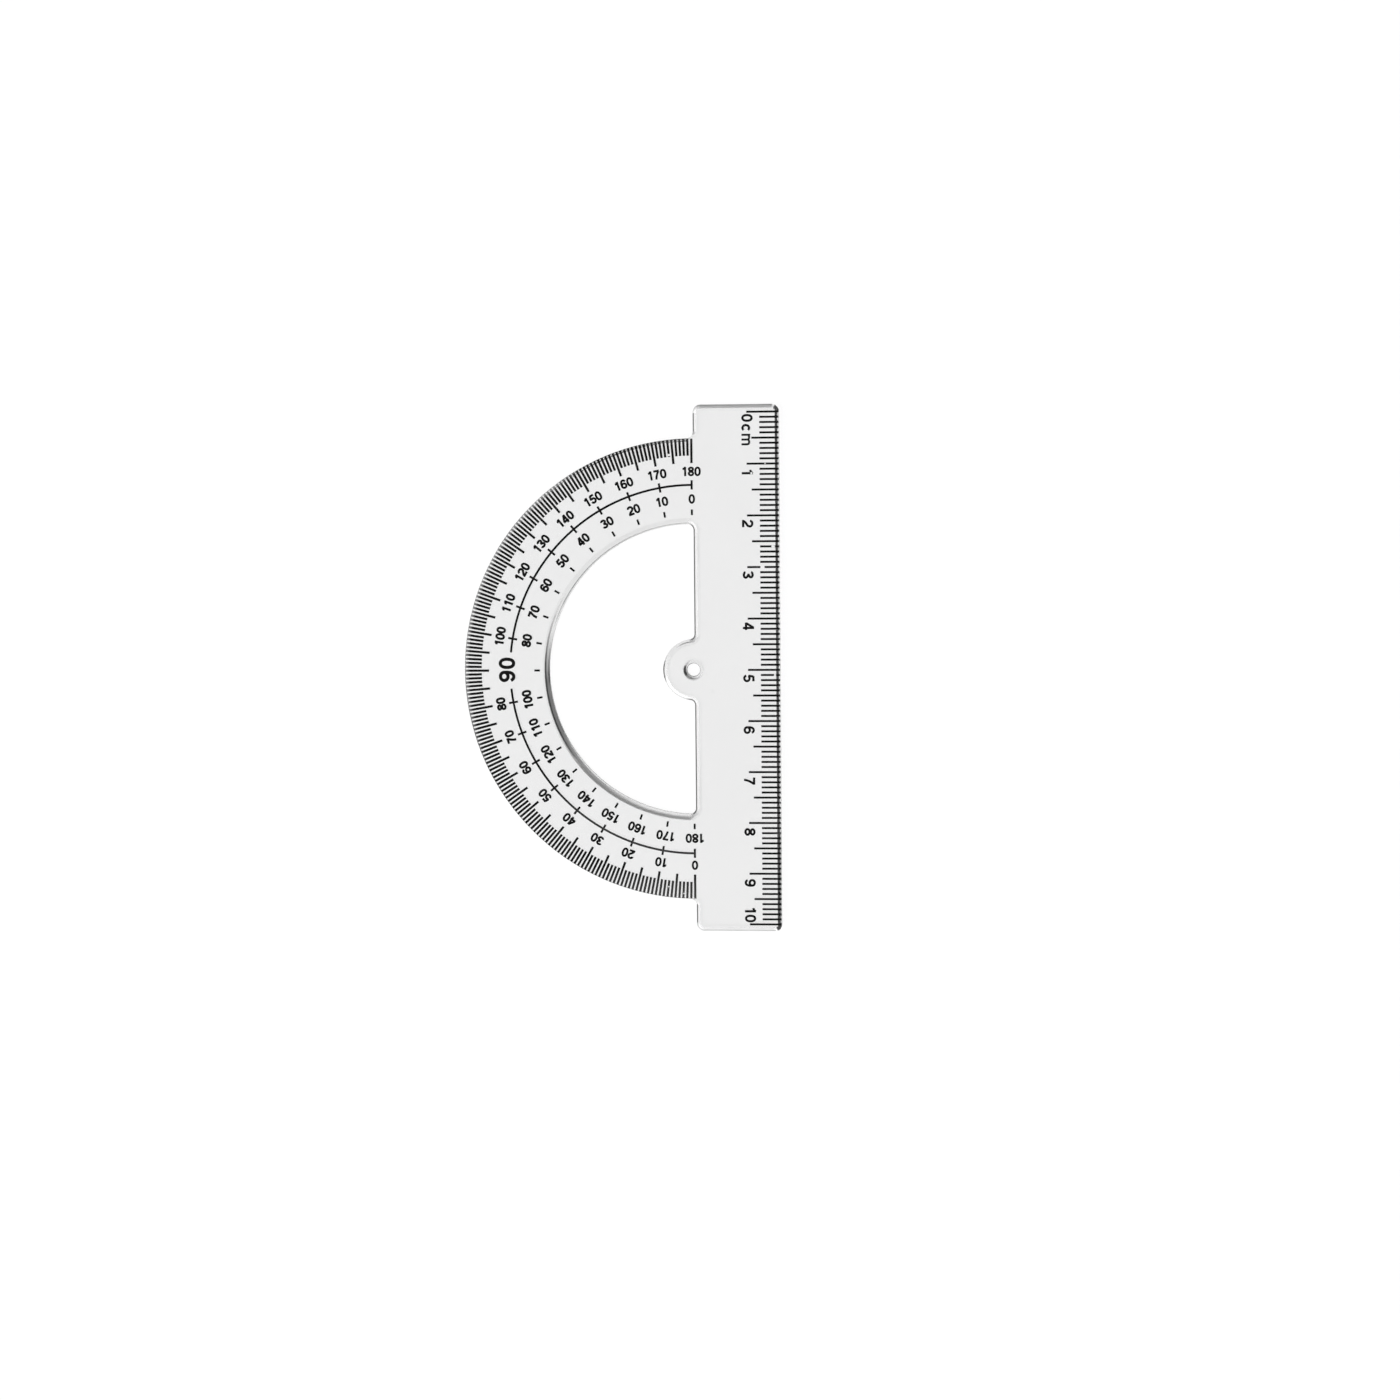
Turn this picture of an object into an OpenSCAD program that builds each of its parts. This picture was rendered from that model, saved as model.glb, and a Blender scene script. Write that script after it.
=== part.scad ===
// Flat clear protractor with a centimetre ruler along its base.
// The origin is the vertex, where the hole's axis meets the underside. +X runs along the ruler towards its
// zero, +Y towards the 90 degree mark and +Z up. The two graduated edges keep a sharp top edge, so that the
// print reaches them, and are relieved underneath. The window, boss, ears and ends have a bevel on top.
// Sizes are in millimetres.

/* [Plate] */
// Thickness of the moulded plate
plate_t = 2; // [1.6:0.1:3]
// Width of the semicircular band, from its graduated edge to the window
band_w = 16.6; // [15:0.1:22]
// Distance from the ruler edge to the bar's other long edge
bar_w = 16.8; // [13:0.1:24]
// Distance from the vertex line down to the bar's upper edge
shoulder_drop = 0.2; // [0.1:0.05:2]
// Length of each ear, the part of the bar that stands out beyond the band
ear_l = 6.5; // [4.5:0.1:12]
// Fillet between each ear and the band
ear_fillet_r = 1.2; // [0.6:0.1:2]
// Fillet in the two lower corners of the window
window_fillet_r = 1.2; // [0.6:0.1:3]

/* [Boss and vertex hole] */
// Outer radius of the round boss that carries the vertex hole
boss_r = 6; // [5:0.1:9]
// Fillet between the boss and the bar
boss_fillet_r = 1; // [0.6:0.1:2]
// Diameter of the vertex hole
hole_d = 2.5; // [1.5:0.1:3.5]
// Diameter of the countersink at the top face
sink_d = 4.3; // [3.7:0.1:5]

/* [Edges] */
// Width and depth of the 45 degree bevel along the window, boss, ears and ends
bevel = 1.2; // [0.6:0.1:1.4]
// Width and depth of the 45 degree relief under the two graduated edges
relief = 0.6; // [0.3:0.1:1]
// Radius that the bevel leaves at the top of each corner of the bar
corner_top_r = 0.3; // [0.3:0.1:3]
// Distance from each ear's fillet to the start of its bevel
bevel_start = 0.2; // [0.1:0.1:1]

/* [Degree scale] */
// Length of a tick at every degree
one_degree_l = 3.35; // [2:0.05:4.5]
// Length of a tick at every fifth degree
five_degree_l = 4.8; // [3:0.05:6]
// Length of a tick at every tenth degree
ten_degree_l = 4.8; // [3:0.05:6]
// Stroke of the degree ticks
degree_stroke = 0.46; // [0.2:0.02:0.6]
// Distance from the graduated edge to the arc between the two rows of numbers
dividing_inset = 9; // [8:0.1:10]
// Stroke of that arc and of its cross ticks
dividing_stroke = 0.42; // [0.2:0.02:0.6]
// Length of the cross ticks on that arc
cross_tick_l = 1.8; // [1:0.1:2.4]
// Width of the gap in that arc, where the large 90 stands
dividing_gap = 7.1; // [5:0.1:9]
// Distance from the window's bevel to the inner dashes
dash_inset = 0.55; // [0.2:0.05:1]
// Length of the inner dashes
dash_l = 1.1; // [0.6:0.1:1.6]
// Stroke of the inner dashes
dash_stroke = 0.4; // [0.2:0.02:0.6]

/* [Ruler scale] */
// Length that the ruler measures
ruler_l = 100; // [80:10:150]
// Length of bar beyond each end of the ruler's scale
end_margin = 1.5; // [1.4:0.1:6]
// Length of a millimetre tick
millimetre_l = 3.8; // [2.5:0.05:5]
// Length of a half centimetre tick
half_centimetre_l = 5.35; // [3.5:0.05:7]
// Length of a centimetre tick
centimetre_l = 6.3; // [4:0.05:9]
// Stroke of the ruler's ticks
ruler_stroke = 0.4; // [0.2:0.02:0.6]

/* [Ink] */
// Thickness of the print
ink_t = 0.04; // [0.02:0.01:0.1]
// Distance from a graduated edge to the ends of its ticks
ink_margin = 0.05; // [0.02:0.01:0.3]

/* [Hidden] */
$fn = 180;

// How far a cutting solid reaches past the face that it cuts
lap = 0.1;
// How far a fillet's circle reaches past its walls, so that it crosses them
overrun = 0.005;

half_bar = ruler_l/2 + end_margin;
arc_r = half_bar - ear_l;
window_r = arc_r - band_w;
shoulder_y = -shoulder_drop;
ruler_y = shoulder_y - bar_w;
// A level inside the bar, which what stands on the bar reaches down to
root_y = shoulder_y - 2*bevel;
corner_r = bevel + corner_top_r;
corner_x = half_bar - corner_r;
dividing_r = arc_r - dividing_inset;
dash_r = window_r + bevel + dash_inset;

// A fillet's centre stands its own radius above the shoulder. Its distance from the vertex is the sum of its
// radius and the round edge's where it lies outside that edge, and their difference where it lies inside.
ear_fillet_a = asin((shoulder_y + ear_fillet_r)/(arc_r + ear_fillet_r));
ear_fillet_c = polar(arc_r + ear_fillet_r, ear_fillet_a);
window_fillet_a = asin((shoulder_y + window_fillet_r)/(window_r - window_fillet_r));
window_fillet_c = polar(window_r - window_fillet_r, window_fillet_a);
boss_fillet_a = asin((shoulder_y + boss_fillet_r)/(boss_r + boss_fillet_r));
boss_fillet_c = polar(boss_r + boss_fillet_r, boss_fillet_a);

// A point at radius r and angle a round the vertex
function polar(r, a) = [r*cos(a), r*sin(a)];

// The same thing on both sides of the 90 degree line
module both_sides() {
    children();
    mirror([1, 0, 0]) children();
}

// Everything below the level y, out to the distance d on each side
module below(y, d) {
    translate([-d, y - 2*d]) square([2*d, 2*d]);
}

// The corner that a 45 degree cut takes off an edge, in the plane across that edge: the wall is at x = 0 with
// the plastic on its left, and the face that is cut is at y = 0 with the plastic below.
module cut_section(cut) {
    polygon([[-cut - lap, lap], [lap, lap], [lap, -cut - lap]]);
}

// That cut along a straight wall from p to q, with the plastic on the right of the way
module straight_cut(p, q, cut) {
    way = q - p;
    translate(p)
        rotate(atan2(way.y, way.x))
            rotate([90, 0, 90])
                linear_extrude(norm(way)) cut_section(cut);
}

// That cut round an arc with the plastic inside its radius
module arc_cut(r, from, to, cut) {
    rotate(from)
        rotate_extrude(angle = to - from)
            translate([r, 0]) cut_section(cut);
}

// The cone that such a cut runs out in at its end
module run_out(p, cut) {
    depth = cut + overrun;
    translate([p.x, p.y, -depth]) cylinder(h = depth + lap, r1 = 0, r2 = depth + lap);
}

// A cone round an opening of radius r, which the cut widens up to the top face, with its ends past the cut
module widening_cone(r, cut, past) {
    translate([0, 0, -cut - past]) cylinder(h = cut + 2*past, r1 = r - past, r2 = r + cut + past);
}

// A cone round a boss or corner of radius r, which the cut narrows up to the top face
module narrowing_cone(r, cut, past) {
    translate([0, 0, -cut - past]) cylinder(h = cut + 2*past, r1 = r + past, r2 = r - cut - past);
}

// That cut round a corner of the bar, whose centre is the origin and whose sides face +X and +Y
module corner_cut(cut) {
    difference() {
        translate([0, 0, -cut - lap]) cube([2*corner_r, 2*corner_r, cut + 2*lap]);
        narrowing_cone(corner_r + overrun, cut, 2*lap);
    }
}

// What a corner's rounding takes off the bar
module corner_waste() {
    difference() {
        square(2*corner_r);
        circle(corner_r + overrun);
    }
}

module bar_outline() {
    difference() {
        translate([-half_bar, ruler_y]) square([2*half_bar, bar_w]);
        both_sides() {
            translate([corner_x, shoulder_y - corner_r]) corner_waste();
            translate([corner_x, ruler_y + corner_r]) mirror([0, 1, 0]) corner_waste();
        }
    }
}

// Plastic between the band and an ear, before the fillet is cut into it
module ear_gusset() {
    inner_r = arc_r - bevel;
    polygon([ear_fillet_c, polar(inner_r, ear_fillet_a), [inner_r, root_y], [ear_fillet_c.x, root_y]]);
}

// Plastic between the boss and the bar, before the fillet is cut into it
module boss_gusset() {
    inner_r = boss_r - bevel - 3*lap;
    polygon([boss_fillet_c, polar(inner_r, boss_fillet_a), [inner_r, root_y], [boss_fillet_c.x, root_y]]);
}

// The window: a half round with filleted corners, less the boss that stands in it
module window_outline() {
    difference() {
        union() {
            difference() {
                circle(window_r);
                below(window_fillet_c.y, arc_r);
            }
            translate([-window_fillet_c.x, shoulder_y]) square([2*window_fillet_c.x, window_fillet_r + lap]);
            both_sides() translate(window_fillet_c) circle(window_fillet_r + overrun);
        }
        circle(boss_r);
        both_sides() difference() {
            boss_gusset();
            translate(boss_fillet_c) circle(boss_fillet_r + overrun);
        }
    }
}

module plate_outline() {
    difference() {
        union() {
            bar_outline();
            difference() {
                circle(arc_r);
                below(root_y, arc_r + lap);
            }
            both_sides() difference() {
                ear_gusset();
                translate(ear_fillet_c) circle(ear_fillet_r + overrun);
            }
        }
        window_outline();
    }
}

// The window again, widened upwards by its bevel, with the top face at z = 0
module window_bevel() {
    difference() {
        union() {
            difference() {
                widening_cone(window_r, bevel, lap);
                translate([0, 0, -bevel - 2*lap])
                    linear_extrude(bevel + 4*lap) below(window_fillet_c.y, arc_r);
            }
            translate([-window_fillet_c.x, 0, 0])
                rotate([90, 0, 90])
                    linear_extrude(2*window_fillet_c.x)
                        polygon([[shoulder_y + lap, -bevel - lap], [shoulder_y - bevel - lap, lap],
                                 [window_fillet_c.y + lap, lap], [window_fillet_c.y + lap, -bevel - lap]]);
            both_sides() translate(window_fillet_c) widening_cone(window_fillet_r + overrun, bevel, lap);
        }
        narrowing_cone(boss_r, bevel, 2*lap);
        both_sides() difference() {
            translate([0, 0, -bevel - 2*lap]) linear_extrude(bevel + 4*lap) boss_gusset();
            translate(boss_fillet_c) widening_cone(boss_fillet_r + overrun, bevel, 3*lap);
        }
    }
}

// The bevel along one ear and the end below it, with the top face at z = 0
module ear_bevel() {
    start = [ear_fillet_c.x + bevel_start, shoulder_y];
    stop = [half_bar, ruler_y + corner_r];
    run_out(start, bevel);
    straight_cut(start, [half_bar + corner_r, shoulder_y], bevel);
    translate([corner_x, shoulder_y - corner_r]) corner_cut(bevel);
    straight_cut([half_bar, shoulder_y + corner_r], stop, bevel);
    run_out(stop, bevel);
}

// The relief along the ruler edge and round its corners, turned over so that the underside is at z = 0
module ruler_relief() {
    past_end = half_bar + corner_r;
    straight_cut([past_end, ruler_y], [-past_end, ruler_y], relief);
    both_sides() {
        stop = [half_bar, ruler_y + corner_r];
        translate([corner_x, ruler_y + corner_r]) mirror([0, 1, 0]) corner_cut(relief);
        straight_cut(stop, [half_bar, ruler_y - corner_r], relief);
        run_out(stop, relief);
    }
}

// The vertex hole with its countersink
module vertex_hole() {
    sink = (sink_d - hole_d)/2;
    translate([0, 0, -lap]) cylinder(h = plate_t + 2*lap, d = hole_d);
    translate([0, 0, plate_t]) widening_cone(hole_d/2, sink, lap);
}

// The moulding: band, bar, ears, boss and vertex hole
module moulded_plate() {
    color([0.86, 0.88, 0.9, 0.6])
    difference() {
        linear_extrude(plate_t) plate_outline();
        translate([0, 0, plate_t]) window_bevel();
        translate([0, 0, plate_t]) both_sides() ear_bevel();
        mirror([0, 0, 1]) ruler_relief();
        mirror([0, 0, 1]) arc_cut(arc_r, ear_fillet_a, 180 - ear_fillet_a, relief);
        vertex_hole();
    }
}

// Ink on the plate's top face
module ink() {
    color([0.09, 0.09, 0.1])
    translate([0, 0, plate_t])
        linear_extrude(ink_t) children();
}

// One degree tick at angle a, running in from the graduated edge
module degree_tick(a, l) {
    rotate(a)
        translate([arc_r - l, -degree_stroke/2]) square([l - ink_margin, degree_stroke]);
}

// One ruler tick, k millimetres from the zero and running in from the ruler edge
module ruler_tick(k, l) {
    translate([ruler_l/2 - k - ruler_stroke/2, ruler_y + ink_margin]) square([ruler_stroke, l - ink_margin]);
}

module one_degree_ticks() {
    ink() for (a = [1:179]) if (a % 5 != 0) degree_tick(a, one_degree_l);
}

module five_degree_ticks() {
    ink() for (a = [5:10:175]) degree_tick(a, five_degree_l);
}

module ten_degree_ticks() {
    ink() for (a = [0:10:180]) degree_tick(a, ten_degree_l);
}

// The arc between the two rows of numbers, with a cross tick at every tenth degree except 90
module dividing_arc() {
    stop_a = 90 - asin(dividing_gap/2/dividing_r);
    ink() both_sides() {
        difference() {
            circle(dividing_r + dividing_stroke/2);
            circle(dividing_r - dividing_stroke/2);
            rotate(stop_a) translate([-2*dividing_r, 0]) square([4*dividing_r, 2*dividing_r]);
            translate([-2*dividing_r, -2*dividing_r]) square([4*dividing_r, 2*dividing_r]);
        }
        for (a = [0:10:80])
            rotate(a)
                translate([dividing_r, 0]) square([cross_tick_l, dividing_stroke], center = true);
    }
}

module inner_dashes() {
    ink() for (a = [0:10:180])
        rotate(a)
            translate([dash_r, -dash_stroke/2]) square([dash_l, dash_stroke]);
}

module millimetre_ticks() {
    ink() for (k = [0:ruler_l]) if (k % 5 != 0) ruler_tick(k, millimetre_l);
}

module half_centimetre_ticks() {
    ink() for (k = [5:10:ruler_l]) ruler_tick(k, half_centimetre_l);
}

module centimetre_ticks() {
    ink() for (k = [0:10:ruler_l]) ruler_tick(k, centimetre_l);
}

moulded_plate();
one_degree_ticks();
five_degree_ticks();
ten_degree_ticks();
dividing_arc();
inner_dashes();
millimetre_ticks();
half_centimetre_ticks();
centimetre_ticks();
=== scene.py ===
"""Looks of a clear plastic protractor: its plastic, its black print with the numbers, the floor, the light
and the camera.

The frame is the part's own: metres, with the vertex at the origin, the ruler along X and the 90 degree mark
along +Y. Sizes are typed in millimetres unless a comment says otherwise, and MM turns them into metres.
"""
import math
from types import SimpleNamespace

import bpy
import numpy as np
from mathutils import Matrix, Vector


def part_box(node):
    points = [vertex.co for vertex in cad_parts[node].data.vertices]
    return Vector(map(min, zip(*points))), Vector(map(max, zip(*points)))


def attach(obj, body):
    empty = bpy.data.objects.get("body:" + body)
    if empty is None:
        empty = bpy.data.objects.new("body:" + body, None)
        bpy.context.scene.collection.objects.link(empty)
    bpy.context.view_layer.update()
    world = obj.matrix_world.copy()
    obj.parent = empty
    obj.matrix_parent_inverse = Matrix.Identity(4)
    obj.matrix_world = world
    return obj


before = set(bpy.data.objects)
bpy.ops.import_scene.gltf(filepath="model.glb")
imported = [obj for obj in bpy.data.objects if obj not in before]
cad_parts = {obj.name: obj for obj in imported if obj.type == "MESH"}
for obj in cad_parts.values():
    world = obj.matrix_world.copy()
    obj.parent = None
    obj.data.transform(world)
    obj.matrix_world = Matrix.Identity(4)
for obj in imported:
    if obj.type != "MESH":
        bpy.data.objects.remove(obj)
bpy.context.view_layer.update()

MM = 0.001

# Heights of the plate's top face and of the print's, in metres
PLATE_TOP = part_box("moulded_plate")[1].z
PRINT_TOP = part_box("one_degree_ticks")[1].z


# Shapes of the numbers

# Each is a list of strokes in a box one unit high and about 0.7 wide. A stroke is the line that the middle
# of the pen follows, as an array of points, and a flag that says whether it closes on itself.
NIB = 0.095  # half of the pen's width, which keeps a stroke inside its box
WIDE = 0.70
STEM = 0.775  # height of the small letters
SHOULDER = 0.5  # where the arches of the m spring from
ARCH = 0.245  # half the width of one arch of the m


def round_stroke(cx, cy, rx, ry, start, stop, square=2.0, count=22):
    """Part of a superellipse round (cx, cy): the angle goes from start to stop in equal steps. Its cosine
    and its sine are raised to the power 2 / square, each keeping its sign, and then scaled by the radii."""
    a = np.radians(np.linspace(start, stop, count))
    c, s = np.cos(a), np.sin(a)
    power = 2.0 / square
    x = cx + rx * np.sign(c) * np.abs(c) ** power
    y = cy + ry * np.sign(s) * np.abs(s) ** power
    return np.stack([x, y], axis=1)


def ring(cx, cy, rx, ry, square=2.0, count=26):
    """A whole superellipse, with its last point left out because the stroke closes on its first."""
    return round_stroke(cx, cy, rx, ry, 90, 450, square, count + 1)[:-1], True


def line(*points):
    """Straight pieces through the given points."""
    return np.array(points, float), False


def bend(p0, p1, p2, p3, count=14):
    """A cubic Bezier curve: the four points weighted by the Bernstein polynomials of t in equal steps."""
    t = np.linspace(0, 1, count)[:, None]
    p0, p1, p2, p3 = map(np.array, (p0, p1, p2, p3))
    return (1 - t) ** 3 * p0 + 3 * (1 - t) ** 2 * t * p1 + 3 * (1 - t) * t ** 2 * p2 + t ** 3 * p3


def joined(*curves):
    """Curves that follow one another as one open stroke, without the points where they meet twice."""
    return np.concatenate([curves[0]] + [c[1:] for c in curves[1:]]), False


def turned(strokes):
    """The same strokes turned half round in their box, which makes a nine from a six."""
    return [(np.array([WIDE, 1.0]) - points, closed) for points, closed in strokes]


def arch_from(x):
    """One arch of the m: half a superellipse that starts at x, then a straight leg down to the line."""
    curve = round_stroke(x + ARCH, SHOULDER, ARCH, STEM - NIB - SHOULDER, 180, 0, 2.3, 14)
    return joined(curve, np.array([curve[-1], [x + 2 * ARCH, 0.0]]))


def number_shapes():
    """The strokes of the ten digits and of c and m."""
    n = NIB
    mid = WIDE / 2
    top = 1 - n
    six = [
        ring(mid, 0.325, mid - n, 0.325 - n),
        joined(round_stroke(0.365, 0.5, 0.365 - n, 0.5 - n, 32, 180, 2.2),
               np.array([[n, 0.5], [n + 0.004, 0.33]])),
    ]
    return {
        "0": [ring(mid, 0.5, mid - n, 0.5 - n, 2.25)],
        "1": [
            line((0.435, 0.0), (0.435, 1.0)),
            (round_stroke(0.13, 1.0, 0.29, 0.235, 0, -90, 2.0, 10), False),
        ],
        "2": [
            joined(round_stroke(mid, 0.69, mid - n, 0.31 - n, 176, -28),
                   bend((0.595, 0.578), (0.52, 0.40), (0.13, 0.36), (n + 0.005, 0.03))),
            line((0.01, n), (0.675, n)),
        ],
        "3": [
            joined(round_stroke(0.335, 0.745, 0.235, 0.255 - n, 172, -86),
                   round_stroke(mid, 0.295, mid - n, 0.27 - n, 86, -172)),
            line((0.24, 0.535), (0.38, 0.535)),
        ],
        "4": [
            line((0.50, 0.0), (0.50, 1.0)),
            line((0.0, 0.285), (0.69, 0.285)),
            line((0.47, 0.955), (0.06, 0.295)),
        ],
        "5": [
            line((0.135, top), (0.63, top)),
            joined(np.array([[0.19, top], [0.118, 0.475]]),
                   round_stroke(mid, 0.33, mid - n, 0.33 - n, 146, -166)),
        ],
        "6": six,
        "7": [
            line((0.02, top), (0.68, top)),
            (bend((0.635, 0.90), (0.43, 0.66), (0.27, 0.36), (0.235, 0.0)), False),
        ],
        "8": [ring(mid, 0.742, 0.238, 0.258 - n), ring(mid, 0.285, mid - n, 0.285 - n)],
        "9": turned(six),
        "c": [(round_stroke(mid, STEM / 2, mid - n, STEM / 2 - n, 42, 318), False)],
        "m": [line((n, 0.0), (n, STEM)), arch_from(n), arch_from(n + 2 * ARCH)],
    }


SHAPES = number_shapes()


def ribbon(points, closed, half_width):
    """A flat strip along a path. At each point the path's unit tangent, turned a quarter, gives the way
    across. The section is the rectangle that is half_width to either side and reaches from the plate's top
    to the print's top."""
    if closed:
        along = np.roll(points, -1, axis=0) - np.roll(points, 1, axis=0)
    else:
        along = np.gradient(points, axis=0)
    along /= np.linalg.norm(along, axis=1, keepdims=True)
    across = np.stack([-along[:, 1], along[:, 0]], axis=1) * half_width
    left, right = points + across, points - across
    corners = np.stack([left, right, right, left], axis=1)
    levels = np.broadcast_to([PLATE_TOP, PLATE_TOP, PRINT_TOP, PRINT_TOP], corners.shape[:2])
    vertices = np.concatenate([corners, levels[..., None]], axis=2)
    count = len(points)
    here = np.arange(count if closed else count - 1)
    there = (here + 1) % count
    side = np.arange(4)
    following = (side + 1) % 4
    faces = np.stack([
        here[:, None] * 4 + side, here[:, None] * 4 + following,
        there[:, None] * 4 + following, there[:, None] * 4 + side,
    ], axis=2).reshape(-1, 4)
    if not closed:
        last = (count - 1) * 4
        faces = np.concatenate([faces, [[3, 2, 1, 0]], [[last, last + 1, last + 2, last + 3]]])
    return vertices.reshape(-1, 3), faces


def written(text, height, stretch, pitch, half_width, origin, right):
    """Ribbons of a line of text. A stroke's box coordinates are scaled by height, its first one by stretch
    too, and moved on by pitch heights for each sign. They are then laid along right and the direction a
    quarter turn from it. The lengths are in metres."""
    right = np.array(right, float)
    up = np.array([-right[1], right[0]])
    strips = []
    for i, sign in enumerate(text):
        for points, closed in SHAPES[sign]:
            across = (points[:, :1] * stretch + i * pitch) * height
            placed = np.array(origin) + across * right + points[:, 1:] * height * up
            strips.append(ribbon(placed, closed, half_width))
    return strips


def mesh_piece(name, strips, material):
    """One object from several strips: their vertices in one list and their faces renumbered to match."""
    starts = np.cumsum([0] + [len(vertices) for vertices, _ in strips[:-1]])
    vertices = np.concatenate([vertices for vertices, _ in strips])
    faces = np.concatenate([faces + start for (_, faces), start in zip(strips, starts)])
    mesh = bpy.data.meshes.new(name)
    mesh.from_pydata(vertices, [], faces.tolist())
    mesh.validate()
    mesh.materials.append(material)
    piece = bpy.data.objects.new(name, mesh)
    bpy.context.scene.collection.objects.link(piece)
    piece.visible_shadow = piece.visible_diffuse = False
    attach(piece, "root")


# Nodes and masks


def new_material(name):
    """An empty material and its node tree."""
    material = bpy.data.materials.new(name)
    material.use_nodes = True
    tree = material.node_tree
    tree.nodes.clear()
    return material, tree


def node(tree, kind, inputs=None, **settings):
    """A new node with its settings, each input set to a value or linked to another node's output."""
    made = tree.nodes.new(kind)
    for key, value in settings.items():
        setattr(made, key, value)
    for key, value in (inputs or {}).items():
        if isinstance(value, bpy.types.NodeSocket):
            tree.links.new(value, made.inputs[key])
        else:
            made.inputs[key].default_value = value
    return made


def chained(tree, operation, values):
    """The values taken together by one operation, two at a time."""
    found = values[0]
    for value in values[1:]:
        found = node(tree, "ShaderNodeMath", {0: found, 1: value}, operation=operation).outputs[0]
    return found


def product(tree, *masks):
    """The masks multiplied: full only where all of them are."""
    return chained(tree, "MULTIPLY", masks)


def largest(tree, *masks):
    """The greatest of the masks: full where any of them is."""
    return chained(tree, "MAXIMUM", masks)


def without(tree, mask):
    """One less the mask."""
    return node(tree, "ShaderNodeMath", {0: 1.0, 1: mask}, operation="SUBTRACT").outputs[0]


def between(tree, share, at_none, at_full):
    """The value at_none where the share is nothing, at_full where it is one, and evenly between."""
    return node(tree, "ShaderNodeMapRange", {
        "Value": share, "To Min": at_none, "To Max": at_full}).outputs[0]


def ramp(tree, length, start, stop):
    """Nothing at start, one at stop, and evenly between, with both in millimetres."""
    return node(tree, "ShaderNodeMapRange", {
        "Value": length, "From Min": start * MM, "From Max": stop * MM}).outputs[0]


def band(tree, length, low, high, rise, fall):
    """One where the length lies between low and high. It rises to that over the stretch rise below low, and
    falls to nothing again over the stretch fall above high, all in millimetres."""
    return product(tree, ramp(tree, length, low - rise, low), ramp(tree, length, high + fall, high))


def distance(tree, point, x, y, level):
    """How far the point is from a place given in millimetres across the sheet and in metres of height."""
    return node(tree, "ShaderNodeVectorMath", {0: point, 1: (x * MM, y * MM, level)},
                operation="DISTANCE").outputs["Value"]


SPOT_CORE = 0.67  # share of a spot's radius over which it is full


def spots(tree, point, centres, level):
    """One inside any of the circles that centres lists, falling to nothing over the outer third of each."""
    circles = []
    for x, y, radius in centres:
        away = distance(tree, point, x, y, level)
        circles.append(ramp(tree, away, radius, radius * SPOT_CORE))
    return largest(tree, *circles)


def shaded_place(tree):
    """The place being shaded, in the part's own frame: the point, its three parts, how far it is to either
    side of the vertex, and its reach, the length of its part in the sheet's plane."""
    point = node(tree, "ShaderNodeTexCoord").outputs["Object"]
    parts = node(tree, "ShaderNodeSeparateXYZ", {0: point}).outputs
    flat = node(tree, "ShaderNodeCombineXYZ", {"X": parts["X"], "Y": parts["Y"]}).outputs[0]
    return SimpleNamespace(
        point=point, x=parts["X"], y=parts["Y"], z=parts["Z"],
        side=node(tree, "ShaderNodeMath", {0: parts["X"]}, operation="ABSOLUTE").outputs[0],
        reach=node(tree, "ShaderNodeVectorMath", {0: flat}, operation="LENGTH").outputs["Value"])


def grey(tree, tone):
    """A colour of three equal parts."""
    return node(tree, "ShaderNodeCombineColor", {"Red": tone, "Green": tone, "Blue": tone}).outputs["Color"]


# Clear plastic

# The flats are clear, and the strips along the edges are matt and darkened by painted shade, which stands
# in for the dark lines that refraction and shade make at the edges. A strip lies between two lengths and
# fades over two more, as band takes them. A stretch goes from where a look is missing to where it is full,
# as ramp takes it.
PLASTIC_TONE = (0.825, 0.855)
PLASTIC_IOR = 1.49
CLOUD_SCALE, CLOUD_DETAIL = 60.0, 3.0
CLEAR_ROUGHNESS, MATT_ROUGHNESS = 0.02, 0.3
CLEAR_SHARE, MATT_SHARE = 1.0, 0.05  # how much of the light goes through
PASSING_TINT = (0.97, 0.97, 0.97, 1.0)

# Areas of the plate
ABOVE_BAR = (1.0, 60.0, 0.8, 1.0)  # Y
WINDOW_EDGE = (28.0, 30.0, 1.0, 1.0)  # reach
BOSS_EDGE = (4.6, 6.6, 0.4, 0.6)  # reach
OUTER_RIM = (44.80, 46.0, 0.05, 1.0)  # reach
BAR_ENDS = (49.9, 60.0, 0.05, 1.0)  # to either side
FAR_END = (-60.0, -49.9, 1.0, 0.05)  # X
RULER_EDGE = (-20.0, -16.14, 1.0, 0.06)  # Y
RULER_LIP = (-20.0, -16.62, 1.0, 0.05)  # Y
BELOW_EARS = (-20.0, -15.2, 1.0, 0.05)  # Y
HOLE_AREA = (0.0, 0.0, 3.6)  # X, Y and radius
HOLE_LEVEL = 1.5
# Part of the boss where the bevel gets less painted shade
LESS_SHADE_BOSS = (-4.2, 3.6, 3.6)  # X, Y and radius
LESS_SHADE_BOSS_LEVEL = 1.4

# Strips on the bevels, by height: matt, with painted shade and dark painted lines at foot, crest and crease
BEVEL = (0.81, 1.40, 0.01, 0.20)
BEVEL_FOOT = (0.80, 1.00, 0.02, 0.10)
CLEAR_FOOT = (-1.0, 0.90, 1.0, 0.15)
CLEAR_FOOT_AT_END = (-1.0, 1.05, 1.0, 0.35)
CREST = (1.42, 1.60, 0.10, 0.12)
PALE_CREST = (1.44, 1.80, 0.16, 0.10)
WINDOW_CREASE = (0.99, 1.09, 0.05, 0.05)
BOSS_CREASE = (1.26, 1.40, 0.05, 0.05)

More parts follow.
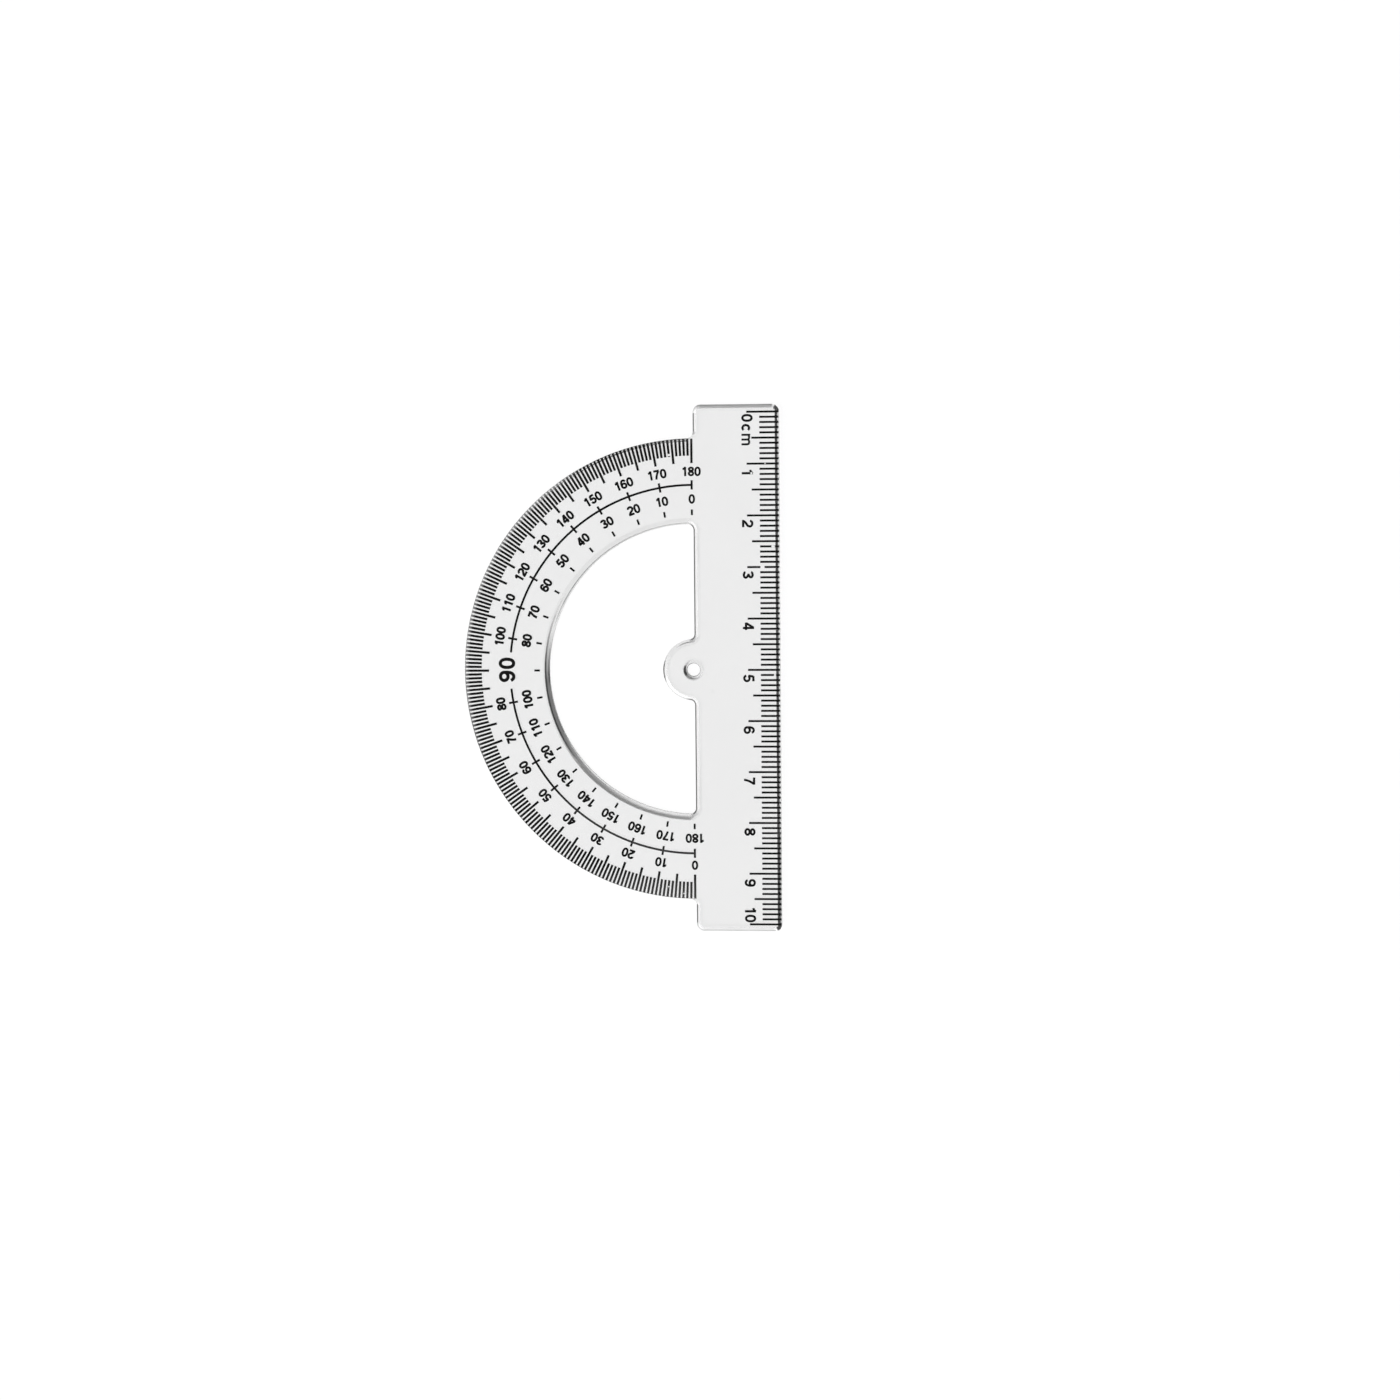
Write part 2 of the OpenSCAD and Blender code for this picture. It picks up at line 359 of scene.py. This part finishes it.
# Stretches along X where the window's arc and the boss turn clear, or where their painted shade grows or
# fades
CLEAR_ARC_X = (-2.0, 8.0)
CLEAR_BOSS_X = (1.0, 3.0)
PALE_ARC_X = (-12.0, -20.0)
CLEAR_END_X = (-22.0, -27.0)
LINED_FOOT_X = (-1.5, 4.0, 2.0, 2.0)
CREST_START_X = (15.0, 1.0)
CREST_STOP_X = (-22.0, -16.0)
WINDOW_CREASE_X = (8.0, 14.0)
BOSS_CREASE_X = (4.2, 5.2)
DARK_RIM_X = (35.0, 41.0)

# Share of the painted shade that stays where less of it is laid on, and on the crest of the pale arc
LESS_SHADE_SHARE = 0.4
PALE_CREST_SHARE = 0.29

# Strips of the countersink, by height, and its side with darker painted shade
SINK = (1.32, 1.72, 0.08, 0.12)
SINK_CENTRE = (0.18, -0.24)  # of the clear circle inside the crescent, a little off the hole's middle
SINK_RING = (1.78, 3.0, 0.16, 1.0)  # distance from that centre
SINK_SHADED_SIDE = (-0.12, 1.70, 1.15)  # X, Y and radius
HOLE_RIM = (1.11, 1.20, 0.02, 0.04)

# Strips of the relieved ruler edge, by height, painted with shade: a near-black line and a darker lip
PAINTED_EDGE_SHADE = (-1.0, 0.20, 1.0, 0.14)
FAR_PAINTED_EDGE_SHADE = (-1.0, 0.27, 1.0, 0.14)
CORNER = (0.03, 0.60, 0.02, 0.02)
LIP = (0.40, 0.60, 0.08, 0.02)
FAR_RULER_X = (-27.0, -33.0)

# Share of the plastic's tone that each strip's painted shade leaves
BEVEL_LEFT, FOOT_LEFT, DARK_ARC_LEFT, FAR_END_LEFT = 0.66, 0.10, 0.76, 0.80
CREST_LEFT, CREASE_LEFT, RIM_LEFT = 0.12, 0.40, 0.30
SINK_LEFT, SINK_SHADED_SIDE_LEFT, HOLE_RIM_LEFT = 0.75, 0.17, 0.28
LIP_LEFT, FAR_LIP_LEFT, PAINTED_EDGE_SHADE_LEFT = 0.66, 0.62, 0.005
SCUFF_LEFT = 0.94

# Small scuffs on the top face: X, Y and radius
SCUFFS = [(-4.2, -3.7, 0.45), (-0.9, -2.6, 0.30)]


def bevel_strips(tree, at, hole, bar_ends):
    """The matt strips of the bevels, and the masks of painted shade, each with the share of tone it leaves.
    """
    above_bar = band(tree, at.y, *ABOVE_BAR)
    arc = product(tree, above_bar, band(tree, at.reach, *WINDOW_EDGE))
    boss = product(tree, above_bar, band(tree, at.reach, *BOSS_EDGE))
    clear = largest(tree, product(tree, arc, ramp(tree, at.x, *CLEAR_ARC_X)),
                    product(tree, boss, ramp(tree, at.x, *CLEAR_BOSS_X)))
    pale = product(tree, arc, ramp(tree, at.x, *PALE_ARC_X))
    clear_foot = product(tree, pale, largest(
        tree, band(tree, at.z, *CLEAR_FOOT),
        product(tree, ramp(tree, at.x, *CLEAR_END_X), band(tree, at.z, *CLEAR_FOOT_AT_END))))
    kept = product(tree, without(tree, hole), without(tree, clear), without(tree, clear_foot))
    # Painted shade on the bevels is weaker at the bar's ends and on part of the boss, and left off the pale
    # arc
    less_shade = largest(tree, bar_ends, spots(tree, at.point, [LESS_SHADE_BOSS], LESS_SHADE_BOSS_LEVEL * MM))
    shade_strength = product(tree, between(tree, less_shade, 1.0, LESS_SHADE_SHARE), without(tree, pale))
    bevel = product(tree, kept, band(tree, at.z, *BEVEL))
    lined = largest(tree, without(tree, arc), band(tree, at.x, *LINED_FOOT_X))
    foot = product(tree, kept, lined, band(tree, at.z, *BEVEL_FOOT))
    crest = largest(
        tree,
        product(tree, arc, ramp(tree, at.x, *CREST_START_X), ramp(tree, at.x, *CREST_STOP_X),
                band(tree, at.z, *CREST)),
        product(tree, pale, band(tree, at.z, *PALE_CREST)))
    crease = largest(
        tree,
        product(tree, arc, ramp(tree, at.x, *WINDOW_CREASE_X), band(tree, at.z, *WINDOW_CREASE)),
        product(tree, boss, ramp(tree, at.x, *BOSS_CREASE_X), band(tree, at.z, *BOSS_CREASE)))
    rim = product(tree, above_bar, band(tree, at.reach, *OUTER_RIM), ramp(tree, at.x, *DARK_RIM_X))
    # Painted shade: darker bevels, dark lines at their foot, crest and crease, a darker arc, far end and
    # outer rim
    shades = [
        (product(tree, bevel, shade_strength), BEVEL_LEFT),
        (product(tree, foot, shade_strength), FOOT_LEFT),
        (product(tree, bevel, arc, without(tree, pale)), DARK_ARC_LEFT),
        (product(tree, bevel, band(tree, at.x, *FAR_END)), FAR_END_LEFT),
        (product(tree, crest, between(tree, pale, 1.0, PALE_CREST_SHARE)), CREST_LEFT),
        (crease, CREASE_LEFT),
        (rim, RIM_LEFT),
    ]
    return [bevel, crest, crease], shades


def hole_strips(tree, at, hole):
    """Matt strips of the countersink with painted shade: a crescent, a thin line at its foot, and their
    shares.
    """
    across = distance(tree, at.point, *SINK_CENTRE, HOLE_LEVEL * MM)
    sink = product(tree, hole, band(tree, at.z, *SINK), band(tree, across, *SINK_RING))
    # Painted shade, darker on one side of the crescent
    sink_shaded_side = product(tree, sink, spots(tree, at.point, [SINK_SHADED_SIDE], HOLE_LEVEL * MM))
    rim = product(tree, hole, band(tree, at.z, *HOLE_RIM))
    return [sink, rim], [(sink, SINK_LEFT), (sink_shaded_side, SINK_SHADED_SIDE_LEFT), (rim, HOLE_RIM_LEFT)]


def ruler_strips(tree, at, bar_ends):
    """The painted shade under the ruler's edge, a near-black line and a darker lip, and their shares."""
    edge = band(tree, at.y, *RULER_EDGE)
    far = ramp(tree, at.x, *FAR_RULER_X)
    corner = product(tree, bar_ends, band(tree, at.y, *BELOW_EARS), band(tree, at.z, *CORNER))
    # A near-black strip of painted shade along the ruler's edge and under the ears' corners
    painted_edge_shade = largest(tree, product(tree, edge, band(tree, at.z, *PAINTED_EDGE_SHADE)),
                    product(tree, edge, far, band(tree, at.z, *FAR_PAINTED_EDGE_SHADE)), corner)
    lip = product(tree, band(tree, at.y, *RULER_LIP), band(tree, at.z, *LIP))
    return painted_edge_shade, lip, [(lip, LIP_LEFT), (product(tree, lip, far), FAR_LIP_LEFT), (painted_edge_shade, PAINTED_EDGE_SHADE_LEFT)]


def clear_plastic():
    """The plate's plastic. Light on its way to or from the floor goes straight through it."""
    material, tree = new_material("clear_plastic")
    at = shaded_place(tree)
    hole = spots(tree, at.point, [HOLE_AREA], HOLE_LEVEL * MM)
    bar_ends = band(tree, at.side, *BAR_ENDS)
    bevel_matt, bevel_shades = bevel_strips(tree, at, hole, bar_ends)
    hole_matt, hole_shades = hole_strips(tree, at, hole)
    painted_edge_shade, lip, ruler_shades = ruler_strips(tree, at, bar_ends)
    scuffs = (spots(tree, at.point, SCUFFS, PLATE_TOP), SCUFF_LEFT)
    cloud = node(tree, "ShaderNodeTexNoise", {
        "Vector": at.point, "Scale": CLOUD_SCALE, "Detail": CLOUD_DETAIL})
    tone = between(tree, cloud.outputs["Fac"], *PLASTIC_TONE)
    # Each mask lowers the tone: painted shade along the edges and the hole, and the scuffs
    for mask, left in [*bevel_shades, *hole_shades, *ruler_shades, scuffs]:
        tone = product(tree, tone, between(tree, mask, 1.0, left))
    # The strip of painted shade along the ruler's edge is also rough and lets no light through
    matt = largest(tree, *bevel_matt, *hole_matt, lip, painted_edge_shade)
    through = between(tree, matt, CLEAR_SHARE, MATT_SHARE)
    rough = between(tree, matt, CLEAR_ROUGHNESS, MATT_ROUGHNESS)
    plastic = node(tree, "ShaderNodeBsdfPrincipled", {
        "Base Color": grey(tree, tone),
        "Roughness": largest(tree, rough, painted_edge_shade),
        "IOR": PLASTIC_IOR,
        "Transmission Weight": product(tree, through, without(tree, painted_edge_shade)),
    })
    ray = node(tree, "ShaderNodeLightPath").outputs
    clear = node(tree, "ShaderNodeBsdfTransparent", {"Color": PASSING_TINT}).outputs[0]
    shown = plastic.outputs["BSDF"]
    for kind in ("Is Diffuse Ray", "Is Shadow Ray"):
        shown = node(tree, "ShaderNodeMixShader", {0: ray[kind], 1: shown, 2: clear}).outputs[0]
    node(tree, "ShaderNodeOutputMaterial", {"Surface": shown})
    return material


# Black print

INK_TONE = (0.002, 0.010)
GRAIN_SCALE, GRAIN_DETAIL = 900.0, 4.0
INK_ROUGHNESS = 0.5
INK_SHEEN = 0.05

# Where the print has a small gap: X, Y and radius
PRINT_GAPS = [
    (41.80, 4.38, 0.27), (-42.61, 5.19, 0.17), (-43.94, 2.22, 0.15), (40.00, -14.29, 0.15),
    (20.00, -13.48, 0.30), (20.00, -13.82, 0.30), (-1.00, -15.94, 0.25), (38.18, -11.62, 0.24),
    (24.00, -15.62, 0.26), (24.00, -15.90, 0.24),
]

# Where the degree scale's ink is thin, as stretches and strips
SCALE_REACH = (40.0, 41.5)
SCALE_Y = (-1.0, 0.0)
TICK_ENDS_REACH = (44.1, 44.85)
TICK_ENDS_Y = (20.0, 26.0)
TICK_ENDS_X = (-6.0, 36.0, 14.0, 4.0)
FAR_TICKS_X = (-38.0, -45.0)
NEAR_TICKS_X = (43.4, 45.0)
DIVIDING_ARC_REACH = (35.7, 36.3, 0.1, 0.1)
FAR_ARC_X = (-22.0, -28.0)

# Tone of the ink in those places
GAP_TONE, TICK_ENDS_TONE, FAR_TICKS_TONE, NEAR_TICKS_TONE, FAR_ARC_TONE = 0.8, 0.22, 0.05, 0.04, 0.035


def print_ink():
    """The print's ink, with a fine grain, small gaps and the places where it is thin."""
    material, tree = new_material("print_ink")
    at = shaded_place(tree)
    grain = node(tree, "ShaderNodeTexNoise", {
        "Vector": at.point, "Scale": GRAIN_SCALE, "Detail": GRAIN_DETAIL})
    on_scale = product(tree, ramp(tree, at.reach, *SCALE_REACH), ramp(tree, at.y, *SCALE_Y))
    tick_ends = product(tree, ramp(tree, at.reach, *TICK_ENDS_REACH), ramp(tree, at.y, *TICK_ENDS_Y),
                        band(tree, at.x, *TICK_ENDS_X))
    far_arc = product(tree, band(tree, at.reach, *DIVIDING_ARC_REACH), ramp(tree, at.x, *FAR_ARC_X))
    thin = [
        (spots(tree, at.point, PRINT_GAPS, PRINT_TOP), GAP_TONE),
        (tick_ends, TICK_ENDS_TONE),
        (product(tree, on_scale, ramp(tree, at.x, *FAR_TICKS_X)), FAR_TICKS_TONE),
        (product(tree, on_scale, ramp(tree, at.x, *NEAR_TICKS_X)), NEAR_TICKS_TONE),
        (far_arc, FAR_ARC_TONE),
    ]
    tone = largest(tree, between(tree, grain.outputs["Fac"], *INK_TONE),
                   *(product(tree, mask, shade) for mask, shade in thin))
    ink = node(tree, "ShaderNodeBsdfPrincipled", {
        "Base Color": grey(tree, tone), "Roughness": INK_ROUGHNESS, "Specular IOR Level": INK_SHEEN})
    node(tree, "ShaderNodeOutputMaterial", {"Surface": ink.outputs["BSDF"]})
    return material


PLASTIC = clear_plastic()
INK = print_ink()
for name, cad_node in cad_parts.items():
    cad_node.data.materials.clear()
    cad_node.data.materials.append(PLASTIC if name == "moulded_plate" else INK)
    cad_node.visible_shadow = cad_node.visible_diffuse = name == "moulded_plate"


# Numbers

# A stretch scales a sign's width, a pitch is the step to the next sign in heights of the text, and a pen is
# half the width of its stroke.
ROW_CENTRE = np.array([0.12, 0.0]) * MM
DEGREE_HEIGHT = 1.80 * MM
DEGREE_STRETCH = 0.93
DEGREE_PITCH = 0.71
DEGREE_PEN = 0.203
DEGREE_PEN_RISE = 0.027  # how much wider the pen is at 90 degrees
ONE_INSET = 0.13  # blank space before a one
OUTER_BASE = 37.58 * MM
INNER_BASE = 32.26 * MM


def degree_numbers(base, label_of):
    """The row of numbers that stands on the radius base, one at every tenth degree except 90. Each is
    centred on its angle with its foot towards the vertex."""
    strips = []
    for angle in range(0, 181, 10):
        if angle == 90:
            continue
        text = str(label_of(angle))
        a = math.radians(angle)
        out = np.array([math.cos(a), math.sin(a)])
        right = np.array([out[1], -out[0]])
        first = ONE_INSET * DEGREE_STRETCH if text[0] == "1" else 0.0
        width = ((len(text) - 1) * DEGREE_PITCH + WIDE * DEGREE_STRETCH + first) * DEGREE_HEIGHT
        pen = (DEGREE_PEN + DEGREE_PEN_RISE * math.sin(a)) * MM
        origin = ROW_CENTRE + out * base - right * width / 2
        strips += written(text, DEGREE_HEIGHT, DEGREE_STRETCH, DEGREE_PITCH, pen, origin, right)
    return strips


mesh_piece("outer_degree_numbers", degree_numbers(OUTER_BASE, lambda angle: 180 - angle), INK)
mesh_piece("inner_degree_numbers", degree_numbers(INNER_BASE, lambda angle: angle), INK)

NINETY_HEIGHT = 3.25 * MM
NINETY_STRETCH = 0.97
NINETY_PITCH = 0.79
NINETY_PEN = 0.325 * MM
NINETY_WIDTH = 1.47  # in heights of the text
NINETY_CENTRE_X = 0.14 * MM
NINETY_BASE = 35.02 * MM
ninety_start = np.array([NINETY_CENTRE_X - NINETY_WIDTH / 2 * NINETY_HEIGHT, NINETY_BASE])
ninety_strips = written("90", NINETY_HEIGHT, NINETY_STRETCH, NINETY_PITCH, NINETY_PEN, ninety_start, (1, 0))
mesh_piece("large_ninety", ninety_strips, INK)

RULER_HEIGHT = 2.18 * MM
RULER_BASE = -9.75 * MM
RULER_STRETCH = 0.975
RULER_PITCH = 0.74
RULER_PEN = 0.225 * MM
RULER_STARTS = [49.56, 39.09, 29.17, 19.24, 9.24, -0.89, -11.01, -21.01, -31.01, -41.06]
TEN_START = -46.5
C_START = 47.64
M_START = 45.75
M_STRETCH = 0.86
M_PEN = 0.20 * MM


def ruler_text(text, start, stretch=RULER_STRETCH, pen=RULER_PEN):
    """Text beside the ruler, upright when the ruler's edge is at the top, that begins at x = start."""
    return written(text, RULER_HEIGHT, stretch, RULER_PITCH, pen, (start * MM, RULER_BASE), (-1, 0))


number_strips = ruler_text("10", TEN_START)
for number, start in enumerate(RULER_STARTS):
    number_strips += ruler_text(str(number), start)
mesh_piece("ruler_numbers", number_strips, INK)
letter_strips = ruler_text("c", C_START) + ruler_text("m", M_START, M_STRETCH, M_PEN)
mesh_piece("centimetre_letters", letter_strips, INK)


# Floor, light and camera

FLOOR_HALF = 3.0  # metres
FLOOR_DROP = 0.05  # keeps the floor clear of the plate's underside
FLOOR_COLOUR = (0.93, 0.93, 0.93, 1.0)
FLOOR_GLOW = 0.04


def floor():
    """A white sheet under the part. Where it is seen it also glows a little, which keeps it white."""
    material, tree = new_material("floor_white")
    ray = node(tree, "ShaderNodeLightPath").outputs
    seen = largest(tree, ray["Is Camera Ray"], ray["Is Glossy Ray"], ray["Is Transmission Ray"])
    paper = node(tree, "ShaderNodeBsdfDiffuse", {"Color": FLOOR_COLOUR})
    glow = node(tree, "ShaderNodeEmission", {"Strength": product(tree, seen, FLOOR_GLOW)})
    both = node(tree, "ShaderNodeAddShader", {0: paper.outputs[0], 1: glow.outputs[0]})
    node(tree, "ShaderNodeOutputMaterial", {"Surface": both.outputs[0]})
    mesh = bpy.data.meshes.new("floor")
    corners = np.array([[-1, -1, 0], [1, -1, 0], [1, 1, 0], [-1, 1, 0]]) * FLOOR_HALF
    mesh.from_pydata(corners, [], [[0, 1, 2, 3]])
    mesh.materials.append(material)
    piece = bpy.data.objects.new("floor", mesh)
    piece.location.z = -FLOOR_DROP * MM
    bpy.context.scene.collection.objects.link(piece)


# Each glow runs from one cosine to another, and from one strength to another
LAMP_FROM = (-0.564, 0.717, 0.410)
LAMP = (0.5, 0.97, 0.05, 5.0)
LAMP_IN_REFLECTIONS = (0.2, 0.97, 0.2, 0.6)
DARK_HORIZON = (0.02, 0.30, 0.02, 1.0)
PANEL_OVERHEAD = (0.955, 0.98, 0.0, 0.9)
SKY_SEEN = 1.0


def light_dome():
    """A soft lamp to one side, which is dimmer in reflections, and a panel overhead. To the camera itself
    the sky is plain white."""
    world = bpy.data.worlds.new("light_dome")
    world.use_nodes = True
    tree = world.node_tree
    tree.nodes.clear()
    way = node(tree, "ShaderNodeTexCoord").outputs["Generated"]
    up = node(tree, "ShaderNodeSeparateXYZ", {0: way}).outputs["Z"]
    side = node(tree, "ShaderNodeVectorMath", {0: way, 1: LAMP_FROM},
                operation="DOT_PRODUCT").outputs["Value"]

    def glow(value, start, stop, low, high):
        """Light that goes smoothly from low to high while the value goes from start to stop."""
        return node(tree, "ShaderNodeMapRange", {
            "Value": value, "From Min": start, "From Max": stop, "To Min": low, "To Max": high,
        }, interpolation_type="SMOOTHSTEP").outputs["Result"]

    def mixed(share, first, second):
        """The first where the share is nothing and the second where it is one."""
        return node(tree, "ShaderNodeMix", {"Factor": share, "A": first, "B": second},
                    data_type="FLOAT").outputs["Result"]

    ray = node(tree, "ShaderNodeLightPath").outputs
    lamp = mixed(ray["Is Glossy Ray"], glow(side, *LAMP), glow(side, *LAMP_IN_REFLECTIONS))
    lamp = product(tree, lamp, glow(up, *DARK_HORIZON))
    dome = chained(tree, "ADD", [lamp, glow(up, *PANEL_OVERHEAD)])
    sky = node(tree, "ShaderNodeBackground", {
        "Color": (1.0, 1.0, 1.0, 1.0), "Strength": mixed(ray["Is Camera Ray"], dome, SKY_SEEN)})
    node(tree, "ShaderNodeOutputWorld", {"Surface": sky.outputs[0]})
    bpy.context.scene.world = world


CAMERA_LENS = 72.0
CAMERA_SENSOR = 36.0
CAMERA_CLIP = (0.01, 20.0)  # metres
CAMERA_PLACE = (0.038529, -0.047265, 0.544496)  # metres
CAMERA_TURN = (-4.70234, 4.80630, -90.49639)  # degrees


def camera():
    """The camera, nearly straight above the part."""
    data = bpy.data.cameras.new("camera")
    data.lens = CAMERA_LENS
    data.sensor_width = CAMERA_SENSOR
    data.clip_start, data.clip_end = CAMERA_CLIP
    eye = bpy.data.objects.new("camera", data)
    eye.location = CAMERA_PLACE
    eye.rotation_euler = [math.radians(a) for a in CAMERA_TURN]
    bpy.context.scene.collection.objects.link(eye)
    bpy.context.scene.camera = eye


floor()
light_dome()
camera()
bpy.context.scene.view_settings.view_transform = "Standard"
